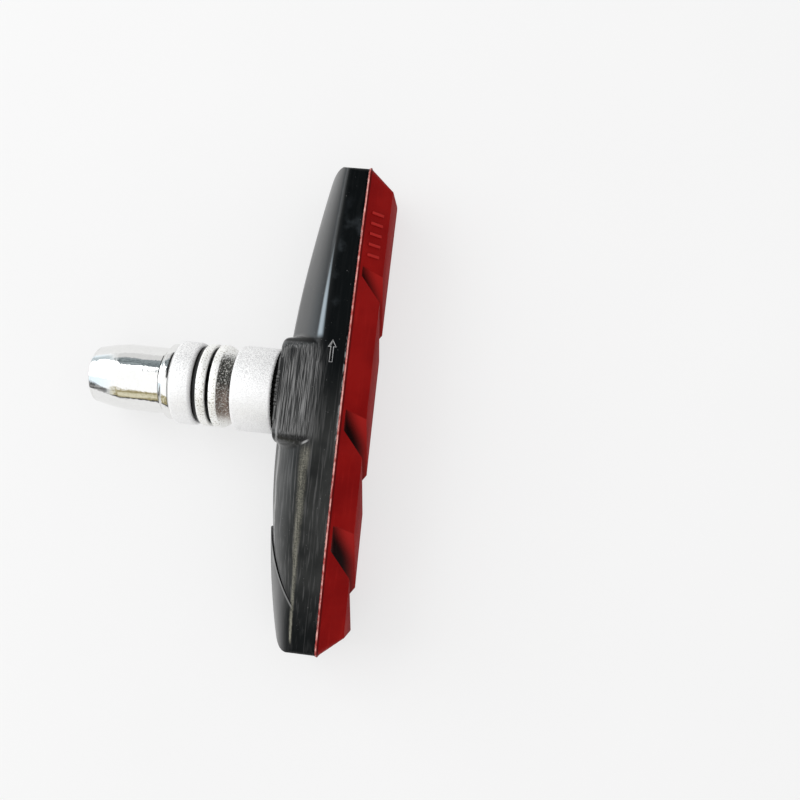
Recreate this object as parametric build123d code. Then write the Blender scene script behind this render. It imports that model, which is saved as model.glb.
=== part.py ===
from build123d import *
import math
import os

# Frame: the origin is the middle of the inner domed washer's flat face, where the brake arm is clamped.
# The friction face looks along +X and the stud points along -X, the front end of the shoe is at +Y
# and the outside of the wheel at +Z. The pieces are drawn from the washer seat on the back of the
# shoe, which is X = 0 in every function, and are moved to the origin when they are saved.

# Outline of the shoe seen from the rim: a bar bent about the wheel axle
shoe_front = 33.5
shoe_rear = 36.5
shoe_height = 13.0
track_radius = 280.0
outline_corner = 1.4

# Moulded carrier: depths are measured from the parting plane towards the stud
seat_to_parting = 10.0
wall_draft = 0.3
wall_margin = 0.03
wall_depth = 4.25
wall_depth_end = 3.3
ridge_round_front = 1.2
ridge_round_rear = 1.7
flank_bulge = 0.35
crest_peak_at = -7.0
crest_peak = 9.5
crest_front = 5.65
crest_rear = 4.7
crest_flat = 3.6
crest_round = 2.4
end_round = 2.2
section_count = 9
section_overrun = 2.0

# Sharp-edged tail that grows out of the back towards the rear end
tail_start = -19.5
tail_crest = 8.95
tail_crest_middle = 7.97
tail_crest_end = 6.3
tail_wall = 3.65
tail_inset = 0.05
tail_flat = 2.6
tail_step_depth = 6.45
tail_step_at = -26.6
tail_step_end = -30.1

# Boss and round washer seat on the back of the carrier
boss_length = 15.0
boss_height = 11.8
boss_corner = 2.0
boss_spread = 0.8
boss_root = 2.4
boss_web_inset = 0.015
boss_round = 1.0
boss_foot = 0.8
seat_diameter = 13.0
seat_step = 0.45
seat_teeth = 60
seat_tooth_depth = 0.25

# Friction compound
friction_depth = 3.5
friction_inset = 2.6
face_corner = 0.6
lip_depth = 0.25
lip_proud = 0.15
slot_centres = (12.2, -9.8, -25.8)
slot_widths = (2.5, 3.0, 3.3)
slot_depth = 2.4
slot_lean = 45.0
slot_flare = 18.0

# Steel strip inside the carrier
strip_depth = 2.2
strip_thickness = 1.6
strip_reach = 25.0
strip_height = 8.0
strip_corner = 2.0
key_hole_diameter = 4.0
key_hole_at = 15.0

# Stud, metric thread of 6 mm with a pitch of 1 mm
stud_diameter = 6.0
stud_end = 23.7
stud_end_chamfer = 0.6
shoulder_diameter = 9.0
shoulder_thickness = 1.6
spigot_diameter = 5.0
rivet_diameter = 7.6
rivet_height = 0.8

# Washers, in their order from the seat outwards
washer_bore = 7.0
ball_radius = 6.8
ball_clearance = 0.05
mouth_diameter = 10.9
thick_cup_diameter = 12.6
thick_cup_length = 6.1
thin_cup_diameter = 12.3
thin_cup_length = 3.25
cup_round = 0.5
dome_diameter = 12.2
dome_rim = 1.05
dome_edge = 0.2
dome_slack = 0.95
arm_gap = 0.6
flat_washer_diameter = 11.2
flat_washer_bore = 6.5
flat_washer_thickness = 1.2
flat_washer_edge = 0.2
face_gap = 0.1

# Cap nut with a hexagon socket in its nose
nut_diameter = 9.8
nut_length = 11.6
nut_straight = 6.5
nut_nose_diameter = 7.8
nut_nose_bulge = 0.15
nut_nose_round = 0.9
nut_base_chamfer = 0.45
nut_thread_depth = 7.4
thread_clearance = 0.08
hex_across_flats = 5.0

# Lengths that follow from the ones above
shoe_length = shoe_front + shoe_rear
ball_reach = math.sqrt(ball_radius**2 - (mouth_diameter / 2) ** 2)
rim_reach = math.sqrt(ball_radius**2 - (dome_diameter / 2) ** 2)
inner_ball = thick_cup_length + ball_reach
inner_flat = inner_ball + dome_slack - rim_reach + dome_rim
outer_flat = inner_flat + arm_gap
outer_ball = outer_flat + dome_rim - rim_reach
thin_cup_mouth = outer_ball + ball_reach
thin_cup_back = thin_cup_mouth + thin_cup_length
flat_washer_start = thin_cup_back + face_gap
nut_start = flat_washer_start + flat_washer_thickness + face_gap


def bent(radius, y):
    """Point in the Y-Z plane on a circle about the wheel axle."""
    return (y, math.sqrt(radius**2 - y**2) - track_radius)


def bent_bar(front, rear, height, corner, depth):
    """Face of a bar bent about the axle, parallel to the friction face at the given X."""
    outer = track_radius + height / 2
    inner = track_radius - height / 2
    with BuildSketch(Plane.YZ.offset(depth)) as bar:
        with BuildLine():
            ThreePointArc(bent(outer, -rear), bent(outer, 0), bent(outer, front))
            Line(bent(outer, front), bent(inner, front))
            ThreePointArc(bent(inner, front), bent(inner, 0), bent(inner, -rear))
            Line(bent(inner, -rear), bent(outer, -rear))
        make_face()
        fillet(bar.vertices(), corner)
    return bar.sketch


def outline(grow, corner, depth):
    """Outline of the shoe, grown or shrunk all round, at the given X."""
    return bent_bar(shoe_front + grow, shoe_rear + grow, shoe_height + 2 * grow, corner, depth).face()


def section_plane(y):
    """Plane across the shoe: its X runs from the parting plane to the stud, its Y away from the axle."""
    _, z = bent(track_radius, y)
    lean = math.asin(y / track_radius)
    return Plane(
        origin=(seat_to_parting, y, z),
        x_dir=(-1, 0, 0),
        z_dir=(0, math.cos(lean), -math.sin(lean)),
    )


def falling(y, peak, front_value, rear_value):
    """Value that falls away as a parabola from the peak of the back to either end."""
    if y > crest_peak_at:
        share = (y - crest_peak_at) / (shoe_front - crest_peak_at)
        return peak - (peak - front_value) * share**2
    share = (y - crest_peak_at) / (shoe_rear + crest_peak_at)
    return peak - (peak - rear_value) * share**2


def vault(wall, crest, flat, inset):
    """Outline across the shoe: drafted side walls up to the ridges, bulging flanks and a flat crest."""
    side = shoe_height / 2 - inset
    foot = (0, side + wall_margin)
    ridge = (wall, side - wall_draft)
    top = (crest, flat / 2)
    rise = math.atan2(top[0] - ridge[0], ridge[1] - top[1])
    swell = (
        (ridge[0] + top[0]) / 2 + flank_bulge * math.cos(rise),
        (ridge[1] + top[1]) / 2 + flank_bulge * math.sin(rise),
    )
    with BuildSketch() as section:
        with BuildLine():
            Line(foot, ridge)
            ThreePointArc(ridge, swell, top)
            Line(top, (crest, 0))
            mirror(about=Plane.XZ)
            Line(foot, (0, -foot[1]))
        make_face()
    return section.sketch


def back_section(y):
    """Cross-section of the arched back, with round ridges and a round crest."""
    crest = falling(y, crest_peak, crest_front, crest_rear)
    wall = falling(y, wall_depth, wall_depth_end, wall_depth_end)
    ridge_round = ridge_round_rear + (ridge_round_front - ridge_round_rear) * (y + shoe_rear) / shoe_length
    section = vault(wall, crest, crest_flat, 0)
    section = fillet(section.vertices().filter_by_position(Axis.X, wall - 0.01, wall + 0.01), ridge_round)
    section = fillet(section.vertices().sort_by(Axis.X)[-2:], crest_round)
    return section_plane(y) * section.face()


def tail_height(y):
    """Height of the tail's crest, a parabola through its start, its middle and its end."""
    share = (tail_start - y) / (tail_start + shoe_rear)
    bend = tail_crest - 2 * tail_crest_middle + tail_crest_end
    return tail_crest + (tail_crest_end - tail_crest) * share + 2 * bend * share * (share - 1)


def tail_section(y):
    """Cross-section of the sharp-edged tail."""
    return section_plane(y) * vault(tail_wall, tail_height(y), tail_flat, tail_inset).face()


def plan_trim():
    """Block whose plan has the square ends and the rounded back corners of the shoe."""
    front_fall = 2 * (crest_peak - crest_front) / (shoe_front - crest_peak_at)
    rear_fall = (tail_height(-shoe_rear) - tail_height(-shoe_rear - section_overrun)) / section_overrun
    parting = seat_to_parting
    with BuildSketch(Plane.XY.offset(-2 * shoe_height)) as plan:
        with BuildLine():
            Polyline(
                (parting, shoe_front),
                (parting - crest_front, shoe_front),
                (parting - crest_front - front_fall * shoe_front, 0),
                (parting - tail_crest_end - rear_fall * shoe_rear, 0),
                (parting - tail_crest_end, -shoe_rear),
                (parting, -shoe_rear),
                close=True,
            )
        make_face()
        ends = plan.vertices().filter_by(lambda v: v.X < parting - 0.1 and abs(v.Y) > 0.1)
        fillet(ends, end_round)
    return extrude(plan.sketch, amount=4 * shoe_height)


def tail_trim():
    """Block behind the curved step that runs from the crest to the ridge where the tail begins."""
    crest = (seat_to_parting - tail_crest, tail_start)
    middle = (seat_to_parting - tail_step_depth, tail_step_at)
    ridge = (seat_to_parting - tail_wall, tail_step_end)
    with BuildSketch(Plane.XY.offset(-2 * shoe_height)) as plan:
        with BuildLine():
            ThreePointArc(crest, middle, ridge)
            Polyline(
                ridge,
                (seat_to_parting + shoe_height, tail_step_end),
                (seat_to_parting + shoe_height, -2 * shoe_rear),
                (-shoe_height, -2 * shoe_rear),
                (-shoe_height, tail_start),
                crest,
            )
        make_face()
    return extrude(plan.sketch, amount=4 * shoe_height)


def carrier_blank():
    """Arched back lofted through cross-sections, with the tail, trimmed to the shoe's outline."""
    start = -shoe_rear - section_overrun
    step = (shoe_front + section_overrun - start) / (section_count - 1)
    arch = loft([back_section(start + step * i) for i in range(section_count)])
    tail = loft([tail_section(y) for y in (tail_start, (tail_start - shoe_rear) / 2, start)]) & tail_trim()
    column = extrude(outline(0, outline_corner, seat_to_parting), amount=-2 * seat_to_parting)
    return (arch + tail) & column & plan_trim()


def boss_side(depth):
    """Half height of the boss at a depth from the parting plane; it leaves the side wall at boss_root."""
    start = shoe_height / 2 + wall_margin - (wall_draft + wall_margin) * boss_root / wall_depth
    share = (depth - boss_root) / (seat_to_parting - seat_step - boss_root)
    return start + (boss_height / 2 - start) * share


def boss():
    """Raised block with drafted sides and soft edges."""
    top = bent_bar(boss_length / 2, boss_length / 2, boss_height, boss_corner, seat_step)
    reach = boss_length / 2 + boss_spread
    root = bent_bar(reach, reach, 2 * boss_side(wall_depth), boss_corner, seat_to_parting - wall_depth)
    block = loft([top.face(), root.face()], ruled=True)
    return fillet(block.faces().sort_by(Axis.X)[0].edges(), boss_round)


def boss_web():
    """Block inside the boss that carries its sides past the rounded ridges into the side walls."""
    reach = boss_length / 2 - boss_corner
    ends = []
    for depth in (boss_root, crest_peak):
        height = 2 * (boss_side(depth) - boss_web_inset)
        ends.append(bent_bar(reach, reach, height, outline_corner, seat_to_parting - depth).face())
    return loft(ends, ruled=True)


def washer_seat():
    """Round seat with a toothed rim."""
    with BuildSketch(Plane.YZ) as disc:
        Circle(seat_diameter / 2)
        with PolarLocations(seat_diameter / 2, seat_teeth):
            Rectangle(seat_tooth_depth, seat_tooth_depth, rotation=45, mode=Mode.SUBTRACT)
    return extrude(disc.sketch, amount=2 * seat_step)


def carrier():
    """Back and boss in one, with a soft foot where the ends of the boss meet the back."""
    back = carrier_blank()
    block = boss()
    joined = back + block
    foot = [e for e in new_edges(back, block, combined=joined) if abs(e.center().Y) > boss_length / 2 - 0.3]
    return joined.solid().fillet(boss_foot, foot) + boss_web()


def pad_body(strip, bolt):
    """Moulded carrier, formed round the steel strip and the root of the stud."""
    return carrier() + washer_seat() - strip - bolt


def slot(y, width):
    """Cutter for one drainage slot, leaning towards the front as it rises."""
    lean = math.radians(slot_lean)
    y, z = bent(track_radius, y)
    plane = Plane(
        origin=(seat_to_parting + friction_depth, y, z),
        x_dir=(0, math.cos(lean), -math.sin(lean)),
        z_dir=(0, math.sin(lean), math.cos(lean)),
    )
    floor = width - 2 * slot_depth * math.tan(math.radians(slot_flare))
    shape = Polyline(
        (-width / 2, 0), (width / 2, 0), (floor / 2, slot_depth), (-floor / 2, slot_depth), close=True
    )
    return extrude(plane * make_face(shape), amount=shoe_height, both=True)


def friction_block():
    """Red compound: a thin lip at the parting plane, slanted sides and diagonal slots."""
    block = extrude(outline(lip_proud, outline_corner, seat_to_parting), amount=lip_depth)
    foot = outline(0, outline_corner, seat_to_parting + lip_depth)
    face = outline(-friction_inset, face_corner, seat_to_parting + friction_depth)
    block += loft([foot, face], ruled=True)
    for y, width in zip(slot_centres, slot_widths):
        block -= slot(y, width)
    return block


def backing_plate():
    """Bent steel strip with a hole for the stud and two holes that key it into the carrier."""
    face = bent_bar(strip_reach, strip_reach, strip_height, strip_corner, seat_to_parting - strip_depth)
    strip = extrude(face, amount=-strip_thickness)
    strip -= Plane.YZ * Cylinder(spigot_diameter / 2, 4 * seat_to_parting)
    for side in (-key_hole_at, key_hole_at):
        y, z = bent(track_radius, side)
        strip -= Plane.YZ * Pos(y, z, 0) * Cylinder(key_hole_diameter / 2, 4 * seat_to_parting)
    return strip


def rod(start, end, diameter):
    """Cylinder along the stud between two distances outwards from the washer seat."""
    base = Plane(origin=(-start, 0, 0), x_dir=(0, 1, 0), z_dir=(-1, 0, 0))
    return base * Cylinder(diameter / 2, end - start, align=(Align.CENTER, Align.CENTER, Align.MIN))


def stud():
    """Threaded stud with a shoulder behind the strip and a riveted head in front of it."""
    front = seat_to_parting - strip_depth
    back = front - strip_thickness
    bolt = rod(-back, stud_end, stud_diameter)
    bolt = chamfer(bolt.edges().sort_by(Axis.X)[0], stud_end_chamfer)
    bolt += rod(-back, shoulder_thickness - back, shoulder_diameter)
    bolt += rod(-front, -back, spigot_diameter)
    bolt += rod(-front - rivet_height, -front, rivet_diameter)
    return bolt


def on_ball(ball_at, side, radius, height):
    """Point of a half section on a ball centred on the stud, on its pad side (-1) or nut side (1)."""
    return (-ball_at - side * math.sqrt(radius**2 - height**2), height)


def cup(back, mouth, diameter, ball_at, side):
    """Washer with a hollow spherical face for a domed one."""
    hollow = ball_radius + ball_clearance
    bore = washer_bore / 2
    lip = math.sqrt(hollow**2 - (ball_at - mouth) ** 2)
    with BuildSketch(Plane.XZ) as half:
        with BuildLine():
            foot = on_ball(ball_at, side, hollow, bore)
            Polyline(foot, (-back, bore), (-back, diameter / 2), (-mouth, diameter / 2), (-mouth, lip))
            ThreePointArc((-mouth, lip), on_ball(ball_at, side, hollow, (bore + lip) / 2), foot)
        make_face()
        fillet(half.vertices().group_by(Axis.Y)[-1], cup_round)
    return revolve(half.sketch, axis=Axis.X)


def dome(flat, ball_at, side):
    """Washer with a flat face for the brake arm and a spherical face for its cup."""
    bore = washer_bore / 2
    rim = dome_diameter / 2
    with BuildSketch(Plane.XZ) as half:
        with BuildLine():
            foot = on_ball(ball_at, side, ball_radius, bore)
            shoulder = on_ball(ball_at, side, ball_radius, rim)
            Polyline(foot, (-flat, bore), (-flat, rim), shoulder)
            ThreePointArc(shoulder, on_ball(ball_at, side, ball_radius, (bore + rim) / 2), foot)
        make_face()
        corner = half.vertices().filter_by(lambda v: v.Y > rim - 0.01 and abs(v.X + flat) < 0.01)
        chamfer(corner, dome_edge)
    return revolve(half.sketch, axis=Axis.X)


def flat_washer():
    """Plain washer under the nut."""
    end = flat_washer_start + flat_washer_thickness
    ring = rod(flat_washer_start, end, flat_washer_diameter)
    ring = chamfer(ring.edges().filter_by(GeomType.CIRCLE), flat_washer_edge)
    return ring - rod(flat_washer_start - 1, end + 1, flat_washer_bore)


def cap_nut():
    """Turned nut with a bulging nose, a hexagon socket and a bore for the stud."""
    radius = nut_diameter / 2
    nose = nut_nose_diameter / 2
    end = nut_start + nut_length
    middle = nut_start + (nut_straight + nut_length) / 2
    with BuildSketch(Plane.XZ) as half:
        with BuildLine():
            Polyline(
                (-end, 0),
                (-nut_start, 0),
                (-nut_start, radius - nut_base_chamfer),
                (-nut_start - nut_base_chamfer, radius),
                (-nut_start - nut_straight, radius),
            )
            ThreePointArc(
                (-nut_start - nut_straight, radius), (-middle, (radius + nose) / 2 + nut_nose_bulge), (-end, nose)
            )
            Line((-end, nose), (-end, 0))
        make_face()
        fillet(half.vertices().group_by(Axis.X)[0].sort_by(Axis.Y)[-1], nut_nose_round)
    nut = revolve(half.sketch, axis=Axis.X)
    nut -= rod(nut_start - 1, nut_start + nut_thread_depth, stud_diameter + 2 * thread_clearance)
    mouth = Plane(origin=(-end, 0, 0), x_dir=(0, 1, 0), z_dir=(1, 0, 0))
    hexagon = mouth * RegularPolygon(hex_across_flats / 2, 6, major_radius=False)
    return nut - extrude(hexagon, amount=nut_length - nut_thread_depth)


def build():
    bolt = stud()
    strip = backing_plate()
    nodes = {
        "friction_block": friction_block(),
        "pad_body": pad_body(strip, bolt),
        "backing_plate": strip,
        "stud": bolt,
        "thick_cup": cup(0, thick_cup_length, thick_cup_diameter, inner_ball, -1),
        "inner_dome": dome(inner_flat, inner_ball + dome_slack, -1),
        "outer_dome": dome(outer_flat, outer_ball, 1),
        "thin_cup": cup(thin_cup_back, thin_cup_mouth, thin_cup_diameter, outer_ball, 1),
        "flat_washer": flat_washer(),
        "cap_nut": cap_nut(),
    }
    os.makedirs("parts", exist_ok=True)
    for name, shape in nodes.items():
        export_step(Pos(inner_flat, 0, 0) * shape, f"parts/{name}.step")


build()
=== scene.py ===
# %% [markdown]
# # A rim brake shoe, dressed for its photograph
# The part is a long arched brake shoe: a red friction block on a black moulded carrier, with a
# threaded stud that carries a stack of cupped and domed washers and a bright cap nut. The packed
# CAD model gives every size and place. This script adds the finishes, redraws the turned pieces
# with finer edges, and sets up the floor, the light and the camera.

import math

import bpy
from mathutils import Euler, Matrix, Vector


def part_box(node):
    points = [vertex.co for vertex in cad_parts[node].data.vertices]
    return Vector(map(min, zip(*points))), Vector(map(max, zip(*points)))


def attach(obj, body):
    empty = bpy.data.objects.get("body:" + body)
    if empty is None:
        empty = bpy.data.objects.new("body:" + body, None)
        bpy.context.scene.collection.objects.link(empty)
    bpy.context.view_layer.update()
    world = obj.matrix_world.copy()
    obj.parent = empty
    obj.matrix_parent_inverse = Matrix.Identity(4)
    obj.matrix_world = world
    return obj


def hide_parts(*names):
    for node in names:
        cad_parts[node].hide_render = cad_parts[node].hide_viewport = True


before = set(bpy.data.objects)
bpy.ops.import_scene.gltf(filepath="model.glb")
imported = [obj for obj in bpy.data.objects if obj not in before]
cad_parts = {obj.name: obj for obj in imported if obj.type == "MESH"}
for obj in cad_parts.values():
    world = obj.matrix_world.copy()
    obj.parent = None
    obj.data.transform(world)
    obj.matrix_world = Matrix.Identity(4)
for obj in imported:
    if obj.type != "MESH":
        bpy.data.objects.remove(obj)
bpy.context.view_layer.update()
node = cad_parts
mm = 0.001

# %% [markdown]
# ## Camera
# The picture was taken from close above the shoe, a little to its right, so the nut shrinks away
# to the left. The place and turn of the camera were found by fitting the CAD edges to the edges in
# the picture. Typing those numbers in is simpler and steadier than aiming at a target object.

# %% Camera
camera_place = Vector((38.12, -11.05, 127.37)) * mm
camera_turn = [math.radians(angle) for angle in (5.719, 4.497, 6.190)]
camera = bpy.data.cameras.new("camera")
camera.sensor_width = 36.0
camera.lens = 39.65
camera.clip_start = 5 * mm
camera_object = bpy.data.objects.new("camera", camera)
camera_object.location = camera_place
camera_object.rotation_euler = Euler(camera_turn)
bpy.context.collection.objects.link(camera_object)
bpy.context.scene.camera = camera_object
bpy.context.scene.view_settings.view_transform = "Standard"
print("camera height in mm:", round(camera_place.z / mm, 1))

# %% [markdown]
# ## Shader expressions
# A finish is a small sum of noises, bands and ramps. Wiring each Math node by hand hides the idea,
# so one class wraps a node's output and turns +, -, * and / into Math nodes.

# %% Shader expressions
class Signal:
    """A node output that can be used in sums; each operator adds a Math node."""

    def __init__(self, finish, socket):
        self.finish = finish
        self.socket = socket

    def math(self, operation, a, b=0.0):
        return self.finish.node("ShaderNodeMath", {"operation": operation}, {0: a, 1: b})

    def __add__(self, other):
        return self.math("ADD", self, other)

    def __radd__(self, other):
        return self.math("ADD", other, self)

    def __sub__(self, other):
        return self.math("SUBTRACT", self, other)

    def __rsub__(self, other):
        return self.math("SUBTRACT", other, self)

    def __mul__(self, other):
        return self.math("MULTIPLY", self, other)

    def __rmul__(self, other):
        return self.math("MULTIPLY", other, self)

    def __truediv__(self, other):
        return self.math("DIVIDE", self, other)

    def __rtruediv__(self, other):
        return self.math("DIVIDE", other, self)

    def __abs__(self):
        return self.math("ABSOLUTE", self)


print("operators: + - * / abs")

# %% [markdown]
# A second class holds the nodes of one finish. Its first method adds any node from its type, its
# settings and its inputs. The others are short names for the few nodes that come up again and
# again. Colours are laid over one another in layers, like coats of paint, each with its share.

# %% Node trees
class Finish:
    """A node tree that is filled with node(), for a material or for the world."""

    def __init__(self, owner):
        owner.use_nodes = True
        self.owner = owner
        self.tree = owner.node_tree
        self.tree.nodes.clear()

    def node(self, kind, settings, inputs, output=0):
        made = self.tree.nodes.new(kind)
        for name, value in settings.items():
            setattr(made, name, value)
        for name, value in inputs.items():
            if isinstance(value, Signal):
                self.tree.links.new(value.socket, made.inputs[name])
            else:
                made.inputs[name].default_value = value
        return Signal(self, made.outputs[output]) if made.outputs else None

    def axes(self, vector):
        """The three axes of a vector."""
        return [self.node("ShaderNodeSeparateXYZ", {}, {0: vector}, axis) for axis in "XYZ"]

    def place(self):
        """Object coordinates in millimetres, and their three axes."""
        here = self.node("ShaderNodeTexCoord", {}, {}, "Object")
        inputs = {0: here, "Scale": 1 / mm}
        place = self.node("ShaderNodeVectorMath", {"operation": "SCALE"}, inputs)
        return place, *self.axes(place)

    def grain(self, place, size, detail=2.0, stretch=(1, 1, 1)):
        """Noise from 0 to 1 with lumps of about this size, longer along a stretched axis."""
        scale = [1 / (size * s) for s in stretch]
        spread = self.node("ShaderNodeMapping", {}, {"Vector": place, "Scale": scale})
        inputs = {"Vector": spread, "Scale": 1.0, "Detail": detail}
        return self.node("ShaderNodeTexNoise", {}, inputs)

    def step(self, value, start, end, low=0.0, high=1.0):
        """Smooth step from low to high while the value goes from start to end."""
        ends = {0: value, 1: start, 2: end, 3: low, 4: high}
        return self.node("ShaderNodeMapRange", {"interpolation_type": "SMOOTHSTEP"}, ends)

    def mix(self, share, first, second):
        """Blend of two colours."""
        inputs = {0: share, 6: first, 7: second}
        return self.node("ShaderNodeMix", {"data_type": "RGBA"}, inputs, 2)

    def layers(self, tint, coats):
        """Colours laid over a tint one after the other, each with its share."""
        for share, colour in coats:
            tint = self.mix(share, tint, colour)
        return tint

    def bump(self, height, depth):
        """Normal bent by a height whose unit stands for the depth in mm."""
        return self.node("ShaderNodeBump", {}, {"Height": height, "Distance": depth * mm})

    def surface(self, **sockets):
        """Principled shader on the material output; an underscore stands for a space."""
        named = {name.replace("_", " "): value for name, value in sockets.items()}
        shader = self.node("ShaderNodeBsdfPrincipled", {}, named)
        self.node("ShaderNodeOutputMaterial", {}, {"Surface": shader})
        return self.owner


def grey(level):
    return (level, level, level, 1.0)


print("shader helpers ready")

# %% [markdown]
# ## Floor
# The shoe does not lie on its side flat: it rests on both tips of its arch and on the washer stack,
# so the stud slopes down by a few degrees. The CAD frame stays as it is, and the floor is tilted
# instead. The plane is found by dropping it onto the lowest points of three groups of vertices
# until the same three points come up again. Letting the part fall in a simulation would find it
# too, but this is quicker and always gives the same answer.

# %% Resting plane
tip_start = 20 * mm
rounds = 8
points = [vertex.co for piece in node.values() for vertex in piece.data.vertices]
front_tip = [p for p in points if p.y > tip_start]
rear_tip = [p for p in points if p.y < -tip_start]
stack = [p for p in points if p.x < 0]
up = Vector((0, 0, 1))
for _ in range(rounds):
    a, b, c = [min(group, key=up.dot) for group in (front_tip, rear_tip, stack)]
    up = (b - a).cross(c - a).normalized()
    up = up if up.z > 0 else -up
print("floor tilt in degrees:", round(math.degrees(up.angle((0, 0, 1))), 2))

# %% [markdown]
# The floor is a large sheet of paper. It glows a little, as on a light table, which keeps the
# shadows pale without more light on the shoe. A brighter lamp would burn out the white washers.

# %% Floor
floor_size = 4
floor_gap = 0.02 * mm
bpy.ops.object.select_all(action="DESELECT")
bpy.ops.mesh.primitive_plane_add(size=floor_size)
floor = bpy.context.object
floor.name = "floor"
floor.rotation_mode = "QUATERNION"
floor.rotation_quaternion = Vector((0, 0, 1)).rotation_difference(up)
floor.location = a - up * floor_gap

paper = Finish(bpy.data.materials.new("lit_paper"))
place, x, y, z = paper.place()
lit_paper = paper.surface(
    Base_Color=paper.mix(paper.grain(place, 40), grey(0.28), grey(0.30)),
    Roughness=0.8,
    Specular_IOR_Level=0.1,
    Emission_Color=grey(0.62),
    Emission_Strength=1.0,
)
floor.data.materials.append(lit_paper)
print(lit_paper.name)

# %% [markdown]
# ## Lamp
# One large soft lamp stands to the left, as a window would, so the back of the carrier is lit and
# the friction block lies in its own shade. A small lamp or a sun would draw hard shadows, which
# the picture does not have.

# %% Lamp
window_place = Vector((-0.40, 0.13, 0.36))
lamp = bpy.data.lights.new("window", "AREA")
lamp.shape = "RECTANGLE"
lamp.size = 0.5
lamp.size_y = 0.4
lamp.energy = 1.5
lamp_object = bpy.data.objects.new("window", lamp)
lamp_object.location = window_place
lamp_object.rotation_euler = (-window_place).to_track_quat("-Z", "Y").to_euler()
bpy.context.collection.objects.link(lamp_object)
print("lamp power in watts:", lamp.energy)

# %% [markdown]
# ## Room
# The world fills the shade evenly with grey. Bright metal and the sheen on rubber show what stands
# round them, so reflections see a room instead. Furniture could be modelled for that, but masks on
# the direction that is looked in are easier to place: how far to the right, how far ahead and how
# far up. A dim band stands beyond the front end and a warm one behind the rear end, and both stop
# short of the window side, so they show on the skirt of the nut and not on its nose. The nose shows
# a dark edge and a blue haze.

# %% Places in the room
world = bpy.data.worlds.new("room")
bpy.context.scene.world = world
room = Finish(world)
toward = room.node("ShaderNodeTexCoord", {}, {}, "Generated")
side, ahead, height = room.axes(toward)
clutter = room.grain(toward, 0.1, detail=5)
rough_height = height + (clutter - 0.5) * 0.25
window_side = room.step(side, -0.55, -0.65)
other_sides = room.step(side, -0.62, -0.52)
dim = other_sides * room.step(ahead, 0.3, 0.42) * room.step(height, 0.34, 0.42)
dim = dim * room.step(rough_height, 0.95, 0.86)
warm = other_sides * room.step(ahead, -0.55, -0.7) * room.step(rough_height, 0.62, 0.54)
skirting = warm * room.step(height, 0.15, 0.1)
edge = window_side * room.step(abs(height - 0.2), 0.22, 0.14) * room.step(ahead, -0.15, -0.35)
haze = window_side * room.step(abs(height - 0.3), 0.2, 0.1) * room.step(ahead, 0.3, 0.5)
pale = other_sides * room.step(ahead, 0.6, 0.8) * room.step(height, 0.42, 0.34)
ceiling = room.step(side, -0.3, -0.18) * room.step(ahead, -0.06, 0.14)
camera_side = room.step(side, -0.1, 0.2)
print("masks made with", len(room.tree.nodes), "nodes")

# %% [markdown]
# The walls are white and turn bluish at the window. Each band is laid over them, the cluttered ones
# in two speckled tones, and the side where the camera is held is dark. Only glossy rays see this
# room: what is looked at directly is the plain pale background.

# %% Colours of the room
speckle = room.step(clutter, 0.4, 0.62)
walls = room.mix(room.step(side, -0.5, -0.8), grey(1.2), (1.02, 1.16, 1.26, 1))
shown = room.layers(
    walls,
    [
        (dim, room.mix(speckle, (0.09, 0.115, 0.125, 1), (0.38, 0.43, 0.45, 1))),
        (warm, room.mix(speckle, (0.32, 0.27, 0.13, 1), (0.82, 0.77, 0.58, 1))),
        (skirting, grey(0.07)),
        (edge, room.mix(speckle, grey(0.08), grey(0.45))),
        (haze, (0.58, 0.66, 0.70, 1)),
        (pale, grey(0.78)),
        (ceiling, grey(0.03)),
        (camera_side, grey(0.06)),
    ],
)
fill = grey(0.84)
background = grey(0.94)
mirrored, seen, through = [
    room.node("ShaderNodeLightPath", {}, {}, f"Is {ray} Ray")
    for ray in ("Glossy", "Camera", "Transmission")
]
colour = room.layers(fill, [(mirrored, shown), (seen + through, background)])
sky = room.node("ShaderNodeBackground", {}, {"Color": colour, "Strength": 1.0})
room.node("ShaderNodeOutputWorld", {}, {"Surface": sky})
print(world.name, "has", len(room.tree.nodes), "nodes")

# %% [markdown]
# ## Turned pieces
# The washers and the nut are lathe work, so each is drawn as a lathe cuts it: a circle about the
# stud is extruded along the axis and resized, station by station. A washer's last station is its
# first one again, and merging doubles closes the ring. A spun outline would give the same surface,
# but here each station can be read as an x and a radius.

# %% Turning tools
weld = 0.0005 * mm
smooth_below = math.radians(30)


def turned(name, stations, filled=False, segments=128):
    """Piece through (x, radius) stations in mm, closed as a ring or filled at its ends."""
    bpy.ops.object.select_all(action="DESELECT")
    x, radius = stations[0]
    bpy.ops.mesh.primitive_circle_add(
        vertices=segments,
        radius=radius * mm,
        fill_type="NGON" if filled else "NOTHING",
        location=(x * mm, 0, 0),
        rotation=(0, math.pi / 2, 0),
    )
    piece = bpy.context.object
    piece.name = name
    bpy.ops.object.transform_apply(location=True, rotation=True, scale=True)
    bpy.ops.object.mode_set(mode="EDIT")
    for (x0, r0), (x1, r1) in zip(stations, stations[1:]):
        shift = ((x1 - x0) * mm, 0, 0)
        bpy.ops.mesh.extrude_edges_move(TRANSFORM_OT_translate={"value": shift})
        bpy.ops.transform.resize(value=(1, r1 / r0, r1 / r0), center_override=(x1 * mm, 0, 0))
    if filled:
        bpy.ops.mesh.edge_face_add()
    bpy.ops.mesh.select_all(action="SELECT")
    bpy.ops.mesh.remove_doubles(threshold=weld)
    bpy.ops.mesh.normals_make_consistent(inside=False)
    bpy.ops.object.mode_set(mode="OBJECT")
    return piece


def place_of(name):
    """Lowest and highest x, and the outer radius, of a turned CAD node in mm."""
    low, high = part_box(name)
    return low.x / mm, high.x / mm, high.y / mm


print("turning tools ready")

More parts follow.
